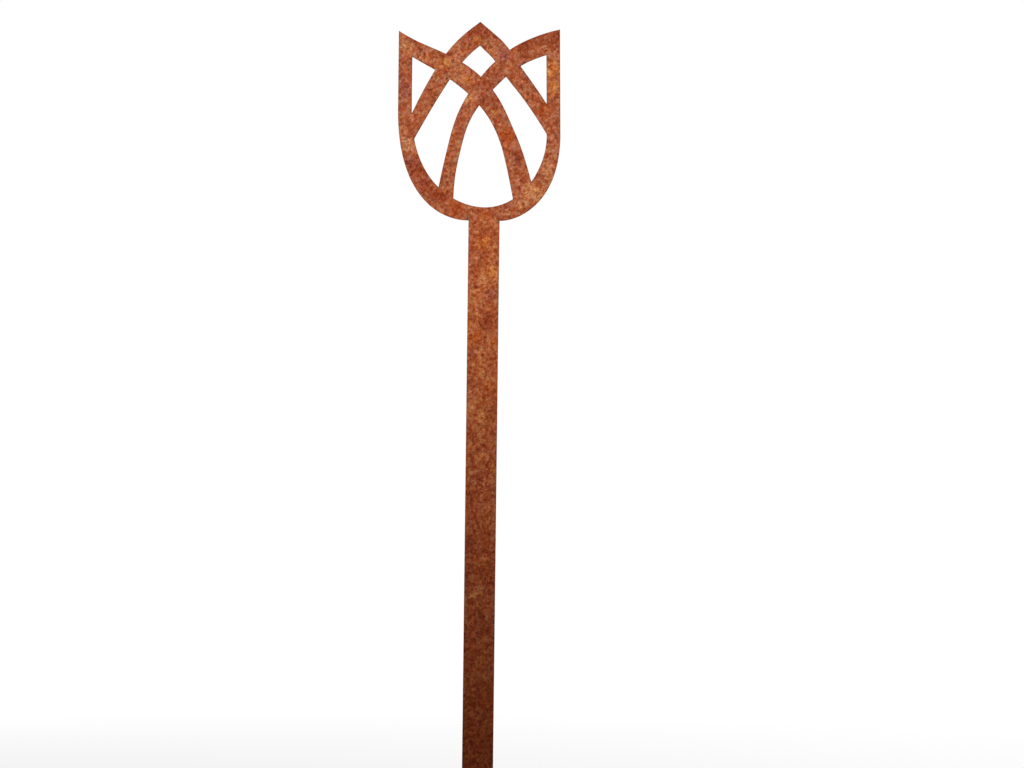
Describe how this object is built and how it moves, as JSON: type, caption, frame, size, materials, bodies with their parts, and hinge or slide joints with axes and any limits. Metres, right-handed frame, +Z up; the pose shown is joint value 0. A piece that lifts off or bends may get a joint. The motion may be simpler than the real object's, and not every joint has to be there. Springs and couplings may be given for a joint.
{
  "type": "garden tulip stake",
  "caption": "Flat openwork tulip head of rusted steel plate on a flat bar stem with a pointed end that is pushed into garden soil.",
  "frame": {"origin": "on the stem's middle line, halfway through its thickness, at the soil line", "axes": "+Z up along the stem, +X to the right of someone who looks at the front, +Y through the plate to its back"},
  "size_m": [0.105, 0.0045, 0.701],
  "materials": {
    "rusted_plate": "matte",
    "rusted_bar": "matte",
    "rusted_weld": "matte"
  },
  "bodies": {
    "root": {"tulip_head": "rusted_plate", "stem": "rusted_bar", "front_weld": "rusted_weld", "back_weld": "rusted_weld"}
  },
  "joints": []
}
